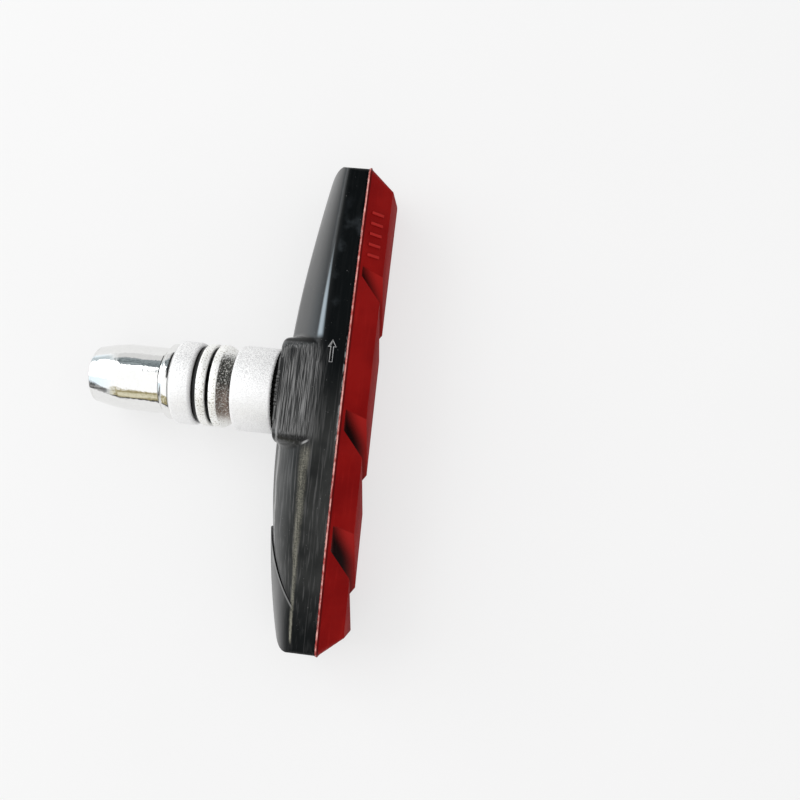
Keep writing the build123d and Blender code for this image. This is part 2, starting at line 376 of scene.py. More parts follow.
# %% [markdown]
# No real edge is sharp. The corners that were rounded on purpose get a wide bevel, picked out by
# the ring they lie on, and a small Bevel modifier then breaks every edge that is left. A modifier
# is applied at once, so that the next operator works on the finished shape.

# %% Edge tools
same_ring = 0.01


def select_edges(piece, wanted):
    """Selects the edges whose two ends satisfy a test, and enters edit mode."""
    bpy.ops.object.mode_set(mode="EDIT")
    bpy.ops.mesh.select_mode(type="EDGE")
    bpy.ops.mesh.select_all(action="DESELECT")
    bpy.ops.object.mode_set(mode="OBJECT")
    for edge in piece.data.edges:
        edge.select = wanted(*[piece.data.vertices[i].co for i in edge.vertices])
    bpy.ops.object.mode_set(mode="EDIT")


def round_rings(piece, rings, width, segments=5):
    """Bevel of the edges that lie on the given (x, radius) rings."""

    def on_ring(co):
        here = (co.x / mm, math.hypot(co.y, co.z) / mm)
        return any(math.dist(here, ring) < same_ring for ring in rings)

    select_edges(
        piece, lambda p, q: on_ring(p) and on_ring(q) and abs(p.x - q.x) < same_ring * mm
    )
    bpy.ops.mesh.bevel(offset=width * mm, segments=segments, affect="EDGES")
    bpy.ops.object.mode_set(mode="OBJECT")


def apply(piece, kind, **settings):
    """Adds a modifier, sets it and applies it."""
    modifier = piece.modifiers.new("step", kind)
    for name, value in settings.items():
        setattr(modifier, name, value)
    bpy.ops.object.select_all(action="DESELECT")
    piece.select_set(True)
    bpy.context.view_layer.objects.active = piece
    bpy.ops.object.modifier_apply(modifier=modifier.name)


def soften(piece, width, angle=25, segments=2):
    """Small bevel on every edge that is sharper than the angle, and smooth shading."""
    apply(
        piece,
        "BEVEL",
        width=width * mm,
        segments=segments,
        limit_method="ANGLE",
        angle_limit=math.radians(angle),
        harden_normals=False,
    )
    bpy.ops.object.shade_smooth_by_angle(angle=smooth_below)


def cut_or_join(piece, tool, operation):
    """Boolean with a tool, which is removed afterwards."""
    apply(piece, "BOOLEAN", object=tool, operation=operation, solver="EXACT")
    bpy.data.objects.remove(tool)


print("edge tools ready")

# %% [markdown]
# ## Frosted steel
# The cupped washers are grit blasted and then plated, so they are nearly white and glitter in
# single grains. A surface that scatters this much looks more like matt paint than like a mirror,
# so it is only partly metallic. A fine grain bends the normals and darkens single grains. On the
# half that is turned to the front end of the shoe the dark grains are stronger, as painted shade.

# %% Frosted steel
frosted = Finish(bpy.data.materials.new("frosted_steel"))
place, x, y, z = frosted.place()
grit = frosted.grain(place, 0.17, detail=2)
glint = frosted.grain(place, 0.11, detail=1)
# painted shade: the dark grains are made stronger on the half turned to the front end
front_grain_shade = frosted.step(y, -2.5, 4.5, 0.3, 1.0)
white = frosted.mix(frosted.grain(place, 2.5), grey(0.95), grey(1.0))
frosted_steel = frosted.surface(
    Base_Color=frosted.layers(
        white,
        [
            (front_grain_shade * frosted.step(grit, 0.42, 0.62), grey(0.64)),
            (frosted.step(glint, 0.6, 0.75), grey(1.0)),
        ],
    ),
    Metallic=0.2,
    Roughness=frosted.step(grit, 0.3, 0.7, 0.34, 0.5),
    Normal=frosted.bump(grit, 0.07),
)
print(frosted_steel.name)

# %% [markdown]
# ## Cupped washers
# Each cup has a bore, a flat back and a hollow spherical face in which a domed washer can tilt.
# The hollow is an arc of stations on the ball, and the two outer corners are rounded. A ball cut
# out with a Boolean would give the same hollow, with less even faces. The finished washer takes
# the place of its CAD node and rides on the same body.

# %% Cupped washers
ball = 6.8
ball_clearance = 0.05
ball_mouth = 5.45
bore = 3.5
cup_corner = 0.5


def finish_piece(piece, body, stands_for, finish):
    """Puts the piece on its body, in place of a CAD node if it has one, with its finish."""
    piece.data.materials.clear()
    piece.data.materials.append(finish)
    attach(piece, body)
    if stands_for:
        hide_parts(stands_for)
    print(piece.name, len(piece.data.polygons), "faces, on", body)


def ball_arc(centre, radius, side, inner, outer, count=9):
    """Stations on a ball from the outer to the inner radius; side is the way it bulges."""
    steps = [outer + (inner - outer) * i / (count - 1) for i in range(count)]
    return [(centre + side * math.sqrt(radius**2 - r**2), r) for r in steps]


def cupped_washer(name, back, mouth, outer, side):
    """Ring with a hollow ball face; side is the direction in x from the mouth to the back."""
    hollow = ball + ball_clearance
    centre = mouth - side * math.sqrt(ball**2 - ball_mouth**2)
    lip = math.sqrt(hollow**2 - (mouth - centre) ** 2)
    face = ball_arc(centre, hollow, side, bore, lip)
    piece = turned(name, [(back, bore), (back, outer), (mouth, outer), *face, (back, bore)])
    round_rings(piece, [(back, outer), (mouth, outer)], cup_corner)
    soften(piece, 0.08)
    return piece


low, high, outer = place_of("thick_cup")
thick_cup = cupped_washer("thick_cupped_washer", high, low, outer, 1)
finish_piece(thick_cup, "shoe", "thick_cup", frosted_steel)
low, high, outer = place_of("thin_cup")
thin_cup = cupped_washer("thin_cupped_washer", low, high, outer, -1)
finish_piece(thin_cup, "clamp_stack", "thin_cup", frosted_steel)

# %% [markdown]
# ## Rubbed steel
# The rim of each domed washer is pale with dark pits. The ball face on the pad side rubs in its cup
# and is bare, so it is darker and its coarse grain glitters. The flat faces in the gap between the
# washers and the deep side of the outer ball are painted near black, as painted shade. One finish
# serves both washers, as the zones are told apart by their place along the stud. Two materials on
# one mesh would need the faces sorted first.

# %% Rubbed steel
rubbed = Finish(bpy.data.materials.new("rubbed_steel"))
place, x, y, z = rubbed.place()
grit = rubbed.grain(place, 0.2, detail=2)
ragged = (grit - 0.5) * 3
ball_face = rubbed.step(x, 1.05, 1.2) * rubbed.step(abs(y + 0.5 + ragged), 5.2, 3.6)
off_rim = rubbed.step(y * y + z * z, 34, 31)
flat_faces = rubbed.step(x, -0.7, -0.62) * rubbed.step(x, 0.14, 0.06) * off_rim
# painted shade: near black in the gap between the washers and on the deep side of the outer ball
gap_and_ball_shade = flat_faces + rubbed.step(x, -1.88, -1.98)
tone = rubbed.mix(rubbed.step(y, 0.5, -2.5), (0.10, 0.10, 0.09, 1), (0.34, 0.26, 0.22, 1))
bare = rubbed.mix(rubbed.step(grit, 0.51, 0.63), tone, (0.85, 0.84, 0.80, 1))
clean = rubbed.mix(rubbed.step(grit, 0.32, 0.46), (0.42, 0.40, 0.33, 1), (1.0, 1.0, 0.98, 1))
rubbed_steel = rubbed.surface(
    Base_Color=rubbed.layers(clean, [(ball_face, bare), (gap_and_ball_shade, grey(0.008))]),
    Metallic=rubbed.step(ball_face, 0.0, 1.0, 0.4, 0.7),
    Roughness=rubbed.step(grit, 0.3, 0.7, 0.3, 0.45),
    Normal=rubbed.bump(grit, 0.06),
)
print(rubbed_steel.name)

# %% [markdown]
# ## Domed washers
# A domed washer is the counterpart of the cup: a flat face, a short rim, and a ball face that fits
# the hollow. The same arc of stations draws it, this time bulging outwards.

# %% Domed washers
dome_rim = 1.05


def domed_washer(name, flat, rim, outer, side):
    """Ring with a flat face, a short rim and a ball face that bulges towards side."""
    edge = flat + side * rim
    centre = edge - side * math.sqrt(ball**2 - outer**2)
    face = ball_arc(centre, ball, side, bore, outer)
    piece = turned(name, [(flat, bore), (flat, outer), *face, (flat, bore)])
    soften(piece, 0.07)
    return piece


low, high, outer = place_of("inner_dome")
inner_dome = domed_washer("inner_domed_washer", low, dome_rim, outer, 1)
finish_piece(inner_dome, "shoe", "inner_dome", rubbed_steel)
low, high, outer = place_of("outer_dome")
outer_dome = domed_washer("outer_domed_washer", high, dome_rim, outer, -1)
finish_piece(outer_dome, "clamp_stack", "outer_dome", rubbed_steel)

# %% [markdown]
# ## Bright plate
# The nut and the plain washer are plated bright. Plating is never quite flat, and a faint waviness
# keeps its reflections from looking drawn with a ruler. Bump is enough for that, as the waves are
# far too shallow to change the outline.

# %% Bright plate
plate = Finish(bpy.data.materials.new("bright_plate"))
place, x, y, z = plate.place()
waves = plate.grain(place, 1.4, detail=1, stretch=(2.5, 1, 1))
haze = plate.grain(place, 0.5, detail=4)
bright_plate = plate.surface(
    Base_Color=plate.mix(haze, (0.80, 0.80, 0.79, 1), (0.88, 0.88, 0.87, 1)),
    Metallic=1.0,
    Roughness=plate.step(haze, 0.4, 0.75, 0.05, 0.12),
    Normal=plate.bump(waves + haze * 0.4, 0.04),
)
print(bright_plate.name)

# %% [markdown]
# ## Plain washer
# A flat ring lies between the thin cup and the nut. Four stations and the first one again are all
# it takes, and its stamped outer corners are rounded.

# %% Plain washer
washer_hole = 3.25
washer_corner = 0.2
low, high, outer = place_of("flat_washer")
section = [(low, washer_hole), (low, outer), (high, outer), (high, washer_hole)]
plain = turned("plain_washer", [*section, section[0]])
round_rings(plain, [(low, outer), (high, outer)], washer_corner, 3)
soften(plain, 0.05)
finish_piece(plain, "clamp_stack", "flat_washer", bright_plate)

# %% [markdown]
# ## Cap nut
# The nut is turned from bar: a straight skirt, a crisp crease, and a nose that bulges slightly on
# its way to a rounded end. Two extra stations close to the chamfer and the crease keep the smooth
# shading of the skirt straight. A cylinder with bevels would need the nose bent afterwards.

# %% Cap nut
nose_end, skirt_base, skirt = place_of("cap_nut")
crease = skirt_base - 6.5
base_chamfer = 0.45
thread_depth = 7.4
thread_hole = 3.08
nose = 3.9
nose_round = 0.85
nose_steps = 12
end_face = 3.0
bulge = 0.15
support = 0.15


def nose_station(share):
    """Station on the nose, from the crease (0) to the end (1)."""
    radius = skirt + (nose - skirt) * share + 4 * bulge * share * (1 - share)
    return (crease + (nose_end - crease) * share, radius)


nut = turned(
    "turned_cap_nut",
    [
        (skirt_base - thread_depth, thread_hole),
        (skirt_base, thread_hole),
        (skirt_base, skirt - base_chamfer),
        (skirt_base - base_chamfer, skirt),
        (skirt_base - base_chamfer - support, skirt),
        (crease + support, skirt),
        *[nose_station(i / nose_steps) for i in range(nose_steps + 1)],
        (nose_end, end_face),
    ],
    filled=True,
    segments=144,
)
round_rings(nut, [(nose_end, nose)], nose_round, 6)
print("nut is", round(skirt_base - nose_end, 1), "mm long")

# %% [markdown]
# The hexagon socket takes the key. It is cut with a six-sided prism and a Boolean, which is how a
# broach leaves it. Drawing it into the end face would break the even rings of the nose.

# %% Hexagon socket
socket_depth = 4.3
socket_across = 5.0
bpy.ops.object.select_all(action="DESELECT")
bpy.ops.mesh.primitive_cylinder_add(
    vertices=6,
    radius=socket_across / 2 / math.cos(math.pi / 6) * mm,
    depth=2 * socket_depth * mm,
    location=(nose_end * mm, 0, 0),
    rotation=(0, math.pi / 2, 0),
)
cut_or_join(nut, bpy.context.object, "DIFFERENCE")
soften(nut, 0.06, angle=20)
finish_piece(nut, "nut", "cap_nut", bright_plate)

# %% [markdown]
# ## Threaded stud
# The stud shows in the gap between the domed washers once the nut is backed off, so its thread is
# real. It starts as one tooth, drawn from a single vertex. A bump pattern would be less work, but
# it would leave the outline of the stud straight.

# %% Threaded stud
stud_tip, stud_root, _ = place_of("stud")
seat = place_of("thick_cup")[1]
thread_end = seat - 1.0
pitch = 1.0
crest = 3.0
valley = 2.46
tooth = [(0.2, valley), (0.525, crest), (0.675, crest), (pitch, valley)]
run_in = 1.507
facets = 48

bpy.ops.object.select_all(action="DESELECT")
thread_start = ((stud_tip - run_in) * mm, 0, valley * mm)
bpy.ops.mesh.primitive_plane_add(size=mm, location=thread_start)
stud = bpy.context.object
stud.name = "threaded_stud"
bpy.ops.object.transform_apply(location=True)
bpy.ops.object.mode_set(mode="EDIT")
bpy.ops.mesh.select_mode(type="VERT")
bpy.ops.mesh.select_all(action="SELECT")
bpy.ops.mesh.merge(type="CENTER")
here = (0.0, valley)
for along, radius in tooth:
    shift = ((along - here[0]) * mm, 0, (radius - here[1]) * mm)
    bpy.ops.mesh.extrude_vertices_move(TRANSFORM_OT_translate={"value": shift})
    here = (along, radius)
bpy.ops.object.mode_set(mode="OBJECT")
print("tooth drawn with", len(stud.data.vertices), "points")

# %% [markdown]
# The Screw modifier winds the tooth along the axis with a pitch of 1 mm, the turns are welded into
# one skin, and two cuts give it flat ends. The thread starts an odd length before the first cut, so
# that no cut runs through a vertex.

# %% Wound and cut thread
turns = round(seat - stud_tip) + 2
winding = {"axis": "X", "screw_offset": pitch * mm, "iterations": turns}
apply(stud, "SCREW", steps=facets, render_steps=facets, **winding)
bpy.ops.object.mode_set(mode="EDIT")
bpy.ops.mesh.select_all(action="SELECT")
bpy.ops.mesh.remove_doubles(threshold=0.002 * mm)
for cut, outwards in ((stud_tip, -1), (thread_end, 1)):
    bpy.ops.mesh.select_all(action="SELECT")
    bpy.ops.mesh.bisect(
        plane_co=(cut * mm, 0, 0),
        plane_no=(outwards, 0, 0),
        clear_outer=True,
        use_fill=True,
        threshold=0.0001 * mm,
    )
bpy.ops.mesh.select_all(action="SELECT")
bpy.ops.mesh.normals_make_consistent(inside=False)
bpy.ops.object.mode_set(mode="OBJECT")
print("thread runs", round(thread_end - stud_tip, 1), "mm")

# %% [markdown]
# ## Root of the stud
# Inside the carrier the stud has a shoulder behind the steel strip and a riveted head in front of
# it. The root is turned like the washers and joined to the thread with a Boolean, which leaves one
# closed skin. Two pieces pushed into each other would look the same, but would overlap inside.

# %% Root of the stud
rivet_head = 3.8
spigot = 2.5
shoulder = 4.5
rivet_back = stud_root - 0.8
shoulder_back = rivet_back - 1.6
shoulder_front = shoulder_back - 1.6
root = turned(
    "root",
    [
        (stud_root, rivet_head),
        (rivet_back, rivet_head),
        (rivet_back, spigot),
        (shoulder_back, spigot),
        (shoulder_back, shoulder),
        (shoulder_front, shoulder),
        (shoulder_front, crest),
        (seat - 0.5, crest),
        (seat - 1.6, valley - 0.1),
    ],
    filled=True,
    segments=96,
)
cut_or_join(stud, root, "UNION")
bpy.ops.object.shade_smooth_by_angle(angle=smooth_below)
print("stud is", round(stud_root - stud_tip, 1), "mm long")

# %% [markdown]
# Zinc plate is duller than the plating of the nut and slightly mottled. The steel strip inside the
# carrier gets the same finish. Its CAD mesh stays, so a helper only changes the material.

# %% Zinc plate
zinc = Finish(bpy.data.materials.new("zinc_plate"))
place, x, y, z = zinc.place()
mottle = zinc.grain(place, 0.8, detail=4)
zinc_plate = zinc.surface(
    Base_Color=zinc.mix(mottle, (0.50, 0.50, 0.49, 1), (0.66, 0.66, 0.65, 1)),
    Metallic=1.0,
    Roughness=zinc.step(mottle, 0.3, 0.7, 0.24, 0.4),
    Normal=zinc.bump(zinc.grain(place, 0.15), 0.01),
)
finish_piece(stud, "shoe", "stud", zinc_plate)


def paint(name, finish):
    """Gives a CAD node that stays in view its finish."""
    node[name].data.materials.clear()
    node[name].data.materials.append(finish)
    print(name, "painted with", finish.name)


paint("backing_plate", zinc_plate)

# %% [markdown]
# ## Red compound
# The friction block is moulded onto the black carrier. Its CAD shape is nearly right, so a copy of
# it is the start: the loose triangles are merged, and the flat areas become single faces again, so
# that later cuts and bevels have clean edges to work on.

# %% Red compound
flat_within = math.radians(0.5)


def working_copy(source, name):
    """Merged copy of a CAD node with its flat areas as single faces."""
    piece = bpy.data.objects.new(name, source.data.copy())
    bpy.context.collection.objects.link(piece)
    bpy.ops.object.select_all(action="DESELECT")
    piece.select_set(True)
    bpy.context.view_layer.objects.active = piece
    bpy.ops.mesh.customdata_custom_splitnormals_clear()
    bpy.ops.object.mode_set(mode="EDIT")
    bpy.ops.mesh.select_all(action="SELECT")
    bpy.ops.mesh.remove_doubles(threshold=weld)
    bpy.ops.mesh.dissolve_limited(angle_limit=flat_within)
    bpy.ops.object.mode_set(mode="OBJECT")
    return piece


red_block = working_copy(node["friction_block"], "red_compound")
block_low, block_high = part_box("friction_block")
parting = block_low.x
print("red block", len(red_block.data.polygons), "faces before cutting")

# %% [markdown]
# ## Drainage slots
# The drainage slots lean 45 degrees towards the front, and their walls open by 18 degrees. The
# slots in the CAD block are narrower than they look in the picture, so each is opened up: a long
# box is narrowed at its floor, laid along the slot and taken away with a Boolean. Moving the old
# walls apart would take less, but the box keeps the walls flat.

# %% Drainage slots
slots = ((12.45, 2.95), (-9.45, 3.9), (-25.3, 4.15))
slot_depth = 2.75
slot_length = 60
slot_lean = math.pi / 4
wall_slope = math.tan(math.radians(18))
spread = 2 * slot_depth * wall_slope
for centre, width in slots:
    bpy.ops.object.select_all(action="DESELECT")
    size = (2 * slot_depth, width + spread, slot_length)
    bpy.ops.mesh.primitive_cube_add(size=mm, scale=size)
    cutter = bpy.context.object
    bpy.ops.object.transform_apply(scale=True)
    select_edges(cutter, lambda p, q: p.x < 0 and q.x < 0)
    bpy.ops.transform.resize(value=(1, (width - spread) / (width + spread), 1))
    bpy.ops.object.mode_set(mode="OBJECT")
    cutter.rotation_euler = (-slot_lean, 0, 0)
    cutter.location = (block_high.x, centre * mm, 0)
    bpy.ops.object.transform_apply(location=True, rotation=True)
    cut_or_join(red_block, cutter, "DIFFERENCE")
print(len(slots), "slots cut", slot_depth, "mm deep")

# %% [markdown]
# ## Ragged lip
# Where the mould closed, a thin lip of flash is left, and it is ragged. After a small bevel on all
# edges, the outer edge of the lip is divided and jittered, then drawn in so that it stays inside
# the CAD outline. A displacement texture could do the same, but the seed keeps this one repeatable.

# %% Ragged lip
lip_band = 0.07 * mm
lip_end = parting + lip_band
jitter = 0.045 * mm
drawn_in = (1, 0.997, 0.986)
soften(red_block, 0.06, angle=25)
select_edges(red_block, lambda p, q: p.x < lip_end and q.x < lip_end)
bpy.ops.mesh.subdivide(number_cuts=14)
bpy.ops.transform.vertex_random(offset=jitter, uniform=0.0, normal=0.0, seed=7)
bpy.ops.transform.resize(value=drawn_in, center_override=(block_low + block_high) / 2)
bpy.ops.object.mode_set(mode="OBJECT")
print("red block", len(red_block.data.polygons), "faces")

# %% [markdown]
# ## Red finish
# The finish needs to know where on the block it is. Two lengths tell it: the distance from the
# parting line, and the height over the slanted side, which bends about the wheel axle 280 mm below
# the shoe. Whatever lies below the slanted side and between the walls of a slot is inside it.
# Vertex colours could mark the slots too, but they would need a fine mesh.

# %% Places on the red block
axle_depth = 280
across_slant = (0.625, 0.781)
slant_offset = 5.232
red = Finish(bpy.data.materials.new("red_compound"))
place, x, y, z = red.place()
from_lip = x - parting / mm
unbent = z + y * y * (0.5 / axle_depth)
slant_height = from_lip * across_slant[0] + unbent * across_slant[1] - slant_offset
in_slot = 0.0
for centre, width in slots:
    across = (y - centre - z) * math.sqrt(0.5)
    in_slot = red.step(abs(across), width * 0.54, width * 0.5) + in_slot
in_slot = in_slot * red.step(from_lip, 0.6, 0.75) * red.step(slant_height, -0.05, -0.2)
sunk = from_lip - red.step(slant_height, 0.0, -3.6) * 1.7
# masks for a painted highlight on raised parts and painted shade in the groove beside the lip
raised_highlight = red.step(slant_height, 0.05, 0.12) * red.step(from_lip, 0.4, 0.5)
groove_shade = red.step(abs(from_lip - 0.36), 0.14, 0.06)
on_lip = red.step(from_lip, 0.25, 0.18)
on_face = red.step(from_lip, 3.35, 3.45)
print("masks made with", len(red.tree.nodes), "nodes")

# %% [markdown]
# The compound is a deep matt red with flow marks from moulding along the block. The slots get a
# painted highlight at their mouths and painted shade that falls off to nearly black where little
# light reaches them. Painted shade darkens the groove beside the lip, whatever stands up from the
# slanted side gets a painted highlight, and the torn lip is pale, partly as thin flash and partly
# as a painted highlight. Dark slots could come from the light alone, but the pale floor fills them
# too much.

# %% Red finish
flow = red.grain(place, 0.5, detail=3, stretch=(1, 14, 1))
speck = red.grain(place, 0.25, detail=3)
cloud = red.grain(place, 6.0, detail=3)
torn = red.grain(place, 0.5, detail=4, stretch=(1, 2, 1))
deep_red = red.mix(red.step(cloud, 0.3, 0.7), (0.20, 0.002, 0.002, 1), (0.27, 0.005, 0.004, 1))
# the pale lip: partly thin flash, partly a painted highlight along its edge
flash_and_highlight = red.mix(red.step(y, 2.0, -14.0), (0.42, 0.08, 0.07, 1), (0.34, 0.05, 0.045, 1))
flash_and_highlight = red.mix(red.step(torn, 0.34, 0.68), flash_and_highlight, (0.78, 0.42, 0.38, 1))
tint = red.layers(
    deep_red,
    [
        (red.step(flow, 0.55, 0.8, 0.0, 0.4), (0.33, 0.010, 0.008, 1)),
        # painted highlight: brighter red inside the slots
        (in_slot, (0.36, 0.012, 0.010, 1)),
        # painted shade: nearly black deeper in the slots
        (in_slot * red.step(sunk, 2.7, -0.1), (0.012, 0.0002, 0.0002, 1)),
        # painted highlight on whatever stands up from the slanted side
        (raised_highlight, (0.38, 0.020, 0.017, 1)),
        # painted shade in the groove beside the lip
        (groove_shade * 0.7, (0.06, 0.002, 0.002, 1)),
        (on_lip, flash_and_highlight),
    ],
)
red_compound = red.surface(
    Base_Color=tint,
    Roughness=red.step(speck, 0.3, 0.7, 0.40, 0.55) + on_face * 0.2,
    Specular_IOR_Level=0.05,
    Normal=red.bump(speck + flow * 0.6, 0.015),
)
finish_piece(red_block, "shoe", "friction_block", red_compound)

# %% [markdown]
# ## Wear marks
# Raised bars on the upper slanted side of the red block show how far it may wear. One bar is a
# bevelled box laid along the slant. The others are copies turned about the wheel axle, so they
# follow the bend of the shoe. An Array modifier with an offset object would do it with more parts.

# %% Wear marks
slant = math.atan2(2.6, 3.25)
bar_size = (2.0, 0.42, 0.34)
bar_place = (parting + 1.9 * mm, 0, 5.17 * mm)
bar_count = 5
bar_pitch = 1.55
first_bar = 20.0
axle = Vector((0, 0, -axle_depth)) * mm
bpy.ops.object.select_all(action="DESELECT")
bpy.ops.mesh.primitive_cube_add(
    size=mm, location=bar_place, rotation=(0, slant, 0), scale=bar_size
)
bars = bpy.context.object
bars.name = "wear_marks"
bpy.ops.object.transform_apply(location=True, rotation=True, scale=True)
apply(bars, "BEVEL", width=0.08 * mm, segments=3)
bpy.ops.object.mode_set(mode="EDIT")
bpy.ops.mesh.select_all(action="SELECT")
turn = math.asin(first_bar / axle_depth)
bpy.ops.transform.rotate(value=turn, orient_axis="X", center_override=axle)
turn = math.asin(bar_pitch / axle_depth)
for _ in range(bar_count - 1):
    bpy.ops.mesh.duplicate()
    bpy.ops.transform.rotate(value=turn, orient_axis="X", center_override=axle)
bpy.ops.object.mode_set(mode="OBJECT")
bpy.ops.object.shade_smooth_by_angle(angle=smooth_below)
finish_piece(bars, "shoe", None, red_compound)
print("marks from y =", round(min(v.co.y for v in bars.data.vertices) / mm, 1))

# %% [markdown]
# ## Black carrier
# The carrier is one rubbery moulding and the CAD shape is right, so the node stays and only gets a
# finish. Its marks follow the shape, so the first job is to say where things are: the boss with its
# flat and its rims, the ridge between the side wall and the arched back, how far the back has
# fallen away from that ridge, and the curved step at which the tail starts.

# %% Places on the carrier
ridge_x, ridge_y = 14.9, -7
step_x, step_y = 28.03, -17.22
step_radius_squared = 322.6
step_diameter = 35.9
rubber = Finish(bpy.data.materials.new("black_rubber"))
place, x, y, z = rubber.place()
streaks = rubber.grain(place, 0.35, detail=4, stretch=(1, 22, 1))
ragged = (streaks - 0.5) * 3
on_boss = rubber.step(abs(y) + ragged, 7.2, 5.6) * rubber.step(z, 5.4, 5.8)
on_boss = on_boss * rubber.step(x + ragged, 17.2, 13.8)
# the rims of the boss, which get painted shade
rim = rubber.step(abs(abs(y - 0.3) - 7.0), 0.6, 0.2) * rubber.step(x, 16.0, 14.0)
rim = rim * rubber.step(z, 4.6, 5.2)
# painted shade on the collar under the washers
collar_shade = rubber.step(x, 9.75, 9.6)
rear = rubber.step(y, 5.0, -9.0)
bend = (y - ridge_y) * (y - ridge_y)
from_ridge = bend * 0.00078 + ridge_x - x
fall = from_ridge / (5.25 - bend * 0.0018)
from_step = (x - step_x) * (x - step_x) + (y - step_y) * (y - step_y)
from_step = (from_step - step_radius_squared) / step_diameter
on_tail = rubber.step(y, -20.0, -22.0) * rubber.step(from_ridge, -0.1, 0.3)
print("masks made with", len(rubber.tree.nodes), "nodes")

# %% [markdown]
# Fine lines give the moulding its scale. A painted highlight runs along the ridge, bluish in front
# and broken behind. Another painted highlight marks the shoulder of the arched back, a thin line
# marks the seam of the mould, and the step of the tail has painted shade at its foot and a painted
# highlight on its edge. The corner beside the lip gets a broken painted highlight, and a short
# painted gleam sits at the rear foot of the boss. Modelled detail this fine would be lost at this
# size, so the lines are masks.

# %% Lines on the carrier
pores = rubber.grain(place, 0.22, detail=3)
cloud = rubber.grain(place, 4.0, detail=3)
wander = cloud - 0.5
# painted highlight along the front part of the ridge
front_ridge_highlight = rubber.step(abs(from_ridge) / (0.95 - y * 0.04), 1.0, 0.2)
front_ridge_highlight = front_ridge_highlight * rubber.step(y, 7.5, 8.5) * rubber.step(y, 24.0, 12.0)
# painted highlight along the rear part of the ridge, broken up by the streaks
rear_ridge_highlight = rubber.step(abs(from_ridge + wander * 0.8) / (1.3 + y * 0.031), 1.0, 0.1)
rear_ridge_highlight = rear_ridge_highlight * rubber.step(y, -7.0, -9.0) * rubber.step(y, -35.3, -34.2)
broken_rear_highlight = rear_ridge_highlight * rubber.step(streaks + pores, 0.75, 1.25, 0.25, 1.0)
rear_ridge_highlight = broken_rear_highlight + rear_ridge_highlight * rubber.step(y, -30.0, -32.0) * 0.5
# painted highlight on the shoulder of the arched back
shoulder_highlight = rubber.step(abs(fall - 0.84), 0.06, 0.01) * rear * rubber.step(streaks, 0.3, 0.6)
seam = rubber.step(abs(x - parting / mm + 1.55 + wander * 0.3), 0.07, 0.02)
seam = seam * rubber.step(y, -9.0, -12.0)
# painted shade at the foot of the tail step, painted highlight on its edge
step_shade = on_tail * rubber.step(abs(from_step + 0.08), 0.14, 0.05)
step_highlight = rubber.step(from_step, 0.02, 0.1) * rubber.step(from_step, 0.4, 0.15)
step_highlight = on_tail * step_highlight
gleam = rubber.step(abs(from_ridge * 0.55 + y + 7.0), 0.26, 0.04)
gleam = rubber.step(abs(from_ridge - 0.2), 0.7, 0.1) * gleam
# painted highlight on the carrier's edge beside the lip, broken up by noise
edge_breaks = rubber.step(rubber.grain(place, 0.4, detail=3, stretch=(1, 3, 1)), 0.44, 0.6)
lip_edge_highlight = rubber.step(parting / mm - x, 0.30, 0.10) * rubber.step(abs(y), 10.0, 6.0) * edge_breaks
print("masks made with", len(rubber.tree.nodes), "nodes")

# %% [markdown]
# The front half is clean and black, with faint smudges on its side wall. The rear half is painted
# lighter, partly as dust and partly as painted reflection, with lengthwise streaks, and the flat of
# the boss is scored with close lines where the sprue was trimmed. Painted shade darkens the rims
# of the boss and the collar under the washers, and the flank of the tail gets a painted reflection.
# A clear coat with a high index gives the arched back its sheen, and the mask keeps that sheen off
# the boss and the side wall. Raising the gloss everywhere would turn the wall grey.

# %% Carrier finish
scores = rubber.grain(place, 0.08, detail=2, stretch=(1, 60, 1))
dust = rubber.grain(place, 0.26, detail=1)
# rear half painted lighter: partly dust, partly painted reflection
rear_dust_and_sheen = rear * rubber.step(y, -34.0, -25.0, 0.15, 1.0)
smudge = rubber.step(rubber.grain(place, 3.2, detail=6), 0.5, 0.72)
smudge = smudge * rubber.step(from_ridge, -0.3, -0.9)
smudge = smudge * rubber.step(y, 9.0, 12.0) * rubber.step(y, 30.0, 24.0)
# painted reflection on the flank of the tail
tail_reflection = on_tail * rubber.step(from_step, 0.1, 0.6) * rubber.step(fall, 0.1, 0.9)
clouded_dust_and_sheen = rear_dust_and_sheen * rubber.step(cloud, 0.25, 0.65, 0.4, 0.9)
black = rubber.mix(clouded_dust_and_sheen, (0.0015, 0.0025, 0.003, 1), (0.034, 0.035, 0.034, 1))
tint = rubber.layers(
    black,
    [
        ((rear_dust_and_sheen * 0.8 + 0.03) * rubber.step(streaks, 0.48, 0.72), grey(0.085)),
        (on_boss * rubber.step(scores, 0.46, 0.62, 0.10, 1.0), grey(0.21)),
        # painted shade: the rims of the boss near black
        (rim * rubber.step(y, -1.0, 1.0, 0.55, 0.85), grey(0.002)),
        (smudge, (0.022, 0.026, 0.029, 1)),
        # painted highlights on the ridge, at the foot of the boss and on the shoulder of the back
        (front_ridge_highlight * 0.8, (0.34, 0.41, 0.46, 1)),
        (rear_ridge_highlight * 0.62, (0.27, 0.26, 0.21, 1)),
        (gleam * 0.8, grey(0.4)),
        (shoulder_highlight * 0.7, grey(0.36)),
        # painted reflection on the flank of the tail
        (tail_reflection, grey(0.11)),
        # painted highlight and painted shade at the step of the tail
        (step_highlight * 0.6, grey(0.26)),
        (step_shade, grey(0.001)),
        (seam * 0.5, grey(0.05)),
        # painted highlight on the edge beside the lip
        (lip_edge_highlight * 0.8, grey(0.32)),
        (rubber.step(dust, 0.76, 0.8), grey(0.14)),
        # painted shade on the collar under the washers
        (collar_shade, grey(0.0005)),
    ],
)
crown = rubber.step(fall, 0.9, 0.95) * rear
sheen = rubber.step(fall - rear * 0.35, -0.25, 0.65) * (1 - on_boss) * (1 - rear * 0.2)
sheen = sheen * (1 - crown * 0.5) * (1 - collar_shade) * (1 - step_shade) * (1 - rim * 0.7)
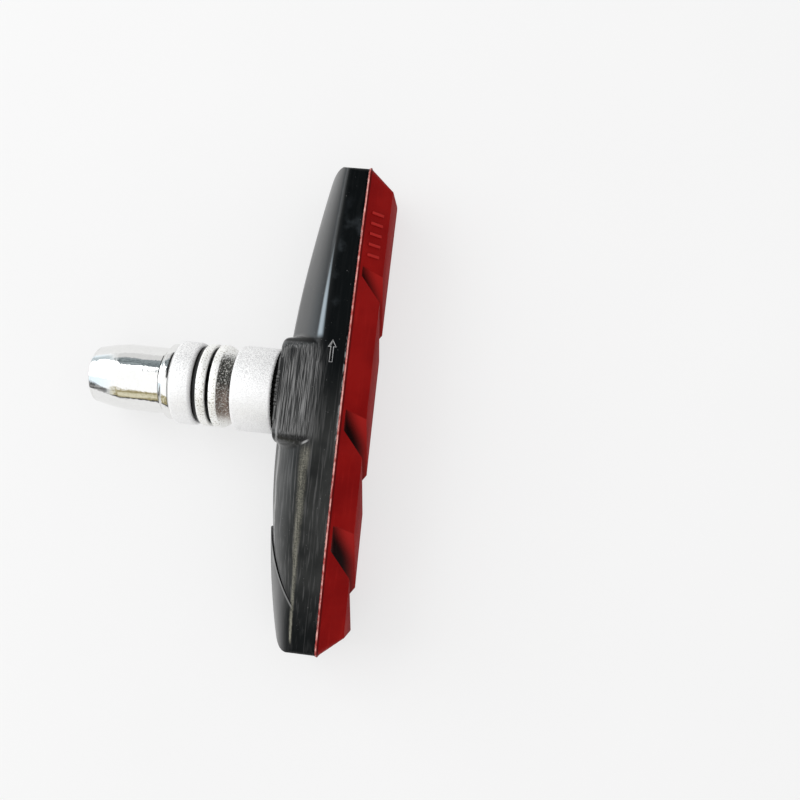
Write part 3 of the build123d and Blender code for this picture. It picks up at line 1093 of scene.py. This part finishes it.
black_rubber = rubber.surface(
    Base_Color=tint,
    Roughness=rubber.step(cloud, 0.3, 0.7, 0.34, 0.46) + on_boss * 0.12,
    Specular_IOR_Level=0.04,
    Coat_Weight=sheen,
    Coat_Roughness=0.3,
    Coat_IOR=2.0,
    Normal=rubber.bump(pores * 0.25 + on_boss * scores * 1.2 + rear * streaks * 0.4, 0.05),
)
paint("pad_body", black_rubber)

# %% [markdown]
# ## Direction arrow
# A raised arrow on the side wall shows which end faces forward. A box for the shaft and a
# three-sided prism for the head are joined with a Boolean, so that the outline runs round both.

# %% Direction arrow
wall_x, wall_top = 17.05, 6.24
head_y, head_radius = 6.85, 0.72
shaft_y, shaft_width, shaft_length = 5.5, 0.5, 2.3
relief = 0.3
bpy.ops.object.select_all(action="DESELECT")
head_place = (wall_x * mm, head_y * mm, wall_top * mm)
bpy.ops.mesh.primitive_cylinder_add(
    vertices=3, radius=head_radius * mm, depth=relief * mm, location=head_place
)
arrow = bpy.context.object
arrow.name = "direction_arrow"
shaft_place = (wall_x * mm, shaft_y * mm, wall_top * mm)
shaft_size = (shaft_width, shaft_length, relief)
bpy.ops.mesh.primitive_cube_add(size=mm, location=shaft_place, scale=shaft_size)
shaft = bpy.context.object
arrow.select_set(True)
bpy.ops.object.transform_apply(location=True, rotation=True, scale=True)
cut_or_join(arrow, shaft, "UNION")
print("arrow", len(arrow.data.polygons), "faces before the inset")

# %% [markdown]
# Only the outline of the arrow stands up. The top faces are merged into one, inset by the width of
# the line and sunk. A curve with a bevel could draw it too, but would not sit flat on the wall.

# %% Outline of the arrow
line_width = 0.13 * mm
hollow_depth = 0.12 * mm
bpy.ops.object.mode_set(mode="EDIT")
bpy.ops.mesh.select_mode(type="FACE")
bpy.ops.mesh.select_all(action="DESELECT")
bpy.ops.object.mode_set(mode="OBJECT")
for face in arrow.data.polygons:
    face.select = face.normal.z > 0.9
bpy.ops.object.mode_set(mode="EDIT")
bpy.ops.mesh.dissolve_faces()
bpy.ops.mesh.inset(thickness=line_width)
bpy.ops.transform.translate(value=(0, 0, -hollow_depth))
bpy.ops.object.mode_set(mode="OBJECT")
soften(arrow, 0.03, angle=30)
print("arrow", len(arrow.data.polygons), "faces")

# %% [markdown]
# The top of the arrow's outline gets a painted highlight, with gaps in places, and its foot is as
# black as the wall. The height alone tells the two apart, so no faces have to be sorted.

# %% Arrow finish
highlit = Finish(bpy.data.materials.new("highlit_rubber"))
place, x, y, z = highlit.place()
# painted highlight on the top of the outline
tint = highlit.mix(highlit.step(z, 6.2, 6.34), grey(0.004), grey(0.36))
# gaps in the painted highlight
highlight_gaps = highlit.step(highlit.grain(place, 0.3), 0.5, 0.8)
highlit_rubber = highlit.surface(Base_Color=highlit.mix(highlight_gaps, tint, grey(0.05)), Roughness=0.4)
finish_piece(arrow, "shoe", None, highlit_rubber)
